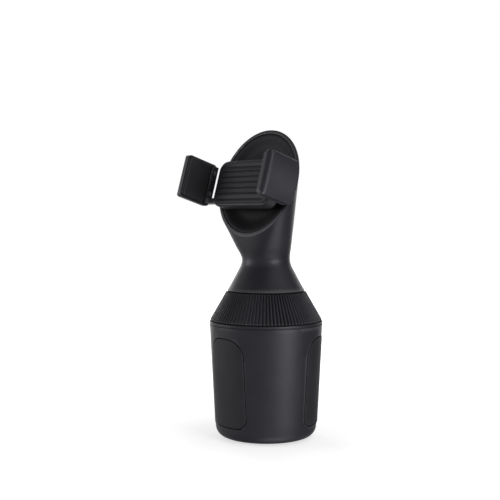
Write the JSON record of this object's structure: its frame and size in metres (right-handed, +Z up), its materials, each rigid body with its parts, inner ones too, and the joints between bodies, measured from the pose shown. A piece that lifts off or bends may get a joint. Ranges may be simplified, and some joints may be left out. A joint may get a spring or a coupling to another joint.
{
  "type": "car phone mount",
  "caption": "Phone mount that stands in a cup holder: a round base with grip pads spread by a ribbed dial, a flared neck and a spinning cradle with two side jaws.",
  "frame": {"origin": "centre of the underside of the round base, on the surface that it stands on", "axes": "+Z up along the base's axis, -Y towards the front where the phone faces, +X to the viewer's right when facing the front"},
  "size_m": [0.0782, 0.0708, 0.1752],
  "materials": {
    "cup_plastic": "fine satin texture",
    "cover_plastic": "satin",
    "neck_plastic": "fine satin texture",
    "dial_plastic": "fine satin texture, ribbed",
    "dish_plastic": "matte",
    "cradle_plastic": "matte",
    "jaw_plastic": "fine satin texture",
    "inner_plastic": "as moulded",
    "gear_plastic": "natural acetal",
    "pad_rubber": "matte",
    "liner_rubber": "matte, ribbed",
    "steel": "zinc plated",
    "dark_steel": "black oxide",
    "rack_metal": "grey anodised",
    "scroll_metal": "plain",
    "washer_brass": "satin"
  },
  "bodies": {
    "base": {"base_cup": "cup_plastic", "bottom_cover": "cover_plastic", "foot_pad": "pad_rubber", "cover_screws": "steel", "core_frame": "inner_plastic", "neck_core": "inner_plastic", "neck_screws": "steel", "neck_shell": "neck_plastic", "head_dish": "dish_plastic", "head_screws": "dark_steel", "tilt_pin": "steel", "tilt_washers": "washer_brass"},
    "dial": {"dial_grip": "dial_plastic", "dial_hub": "inner_plastic", "scroll_plate": "scroll_metal", "dial_screws": "steel"},
    "front_pad": {"front_pad_carrier": "inner_plastic", "front_grip_pad": "pad_rubber", "front_pad_pin": "steel"},
    "right_pad": {"right_pad_carrier": "inner_plastic", "right_grip_pad": "pad_rubber", "right_pad_pin": "steel"},
    "left_pad": {"left_pad_carrier": "inner_plastic", "left_grip_pad": "pad_rubber", "left_pad_pin": "steel"},
    "tilt_knuckle": {"tilt_block": "inner_plastic", "wave_washer": "steel", "retaining_washer": "steel", "spindle_screw": "steel"},
    "cradle": {"cradle_back": "cradle_plastic", "cradle_front": "cradle_plastic", "face_pad": "pad_rubber", "cradle_screws": "steel", "brake_washer": "steel"},
    "pinion": {"pinion_gear": "gear_plastic"},
    "right_jaw": {"right_jaw": "jaw_plastic", "right_jaw_rack": "rack_metal", "right_jaw_liner": "liner_rubber", "right_jaw_screws": "steel"},
    "left_jaw": {"left_jaw": "jaw_plastic", "left_jaw_rack": "rack_metal", "left_jaw_liner": "liner_rubber", "left_jaw_screws": "steel"}
  },
  "joints": [
    {"name": "dial_turn", "type": "hinge", "parent": "base", "child": "dial", "pos_m": [0, 0, 0.073], "axis": [0, 0, 1], "range_deg": [0, 100]},
    {"name": "front_pad_slide", "type": "slide", "parent": "base", "child": "front_pad", "axis": [-0.0175, -0.9998, 0], "range_m": [0, 0.0061]},
    {"name": "right_pad_slide", "type": "slide", "parent": "base", "child": "right_pad", "axis": [0.8746, 0.4848, 0], "range_m": [0, 0.0061]},
    {"name": "left_pad_slide", "type": "slide", "parent": "base", "child": "left_pad", "axis": [-0.8572, 0.515, 0], "range_m": [0, 0.0061]},
    {"name": "head_tilt", "type": "hinge", "parent": "base", "child": "tilt_knuckle", "pos_m": [0, -0.00173, 0.14344], "axis": [1, 0, 0], "range_deg": [-6, 6]},
    {"name": "cradle_spin", "type": "hinge", "parent": "tilt_knuckle", "child": "cradle", "pos_m": [0, -0.007, 0.145], "axis": [0, -0.9588, 0.284], "continuous": true},
    {"name": "right_jaw_slide", "type": "slide", "parent": "cradle", "child": "right_jaw", "axis": [1, 0, 0], "range_m": [-0.005, 0.011]},
    {"name": "left_jaw_slide", "type": "slide", "parent": "cradle", "child": "left_jaw", "axis": [-1, 0, 0], "range_m": [-0.005, 0.011]},
    {"name": "pinion_turn", "type": "hinge", "parent": "cradle", "child": "pinion", "pos_m": [0, -0.00785, 0.14212], "axis": [0, -0.9588, 0.284], "range_deg": [-89, 41]}
  ],
  "couplings": [
    {"joint": "front_pad_slide", "follows": "dial_turn", "m_per_rad": 0.0034377},
    {"joint": "right_pad_slide", "follows": "dial_turn", "m_per_rad": 0.0034377},
    {"joint": "left_pad_slide", "follows": "dial_turn", "m_per_rad": 0.0034377},
    {"joint": "left_jaw_slide", "follows": "right_jaw_slide", "ratio": 1},
    {"joint": "pinion_turn", "follows": "right_jaw_slide", "rad_per_m": -138.89}
  ]
}
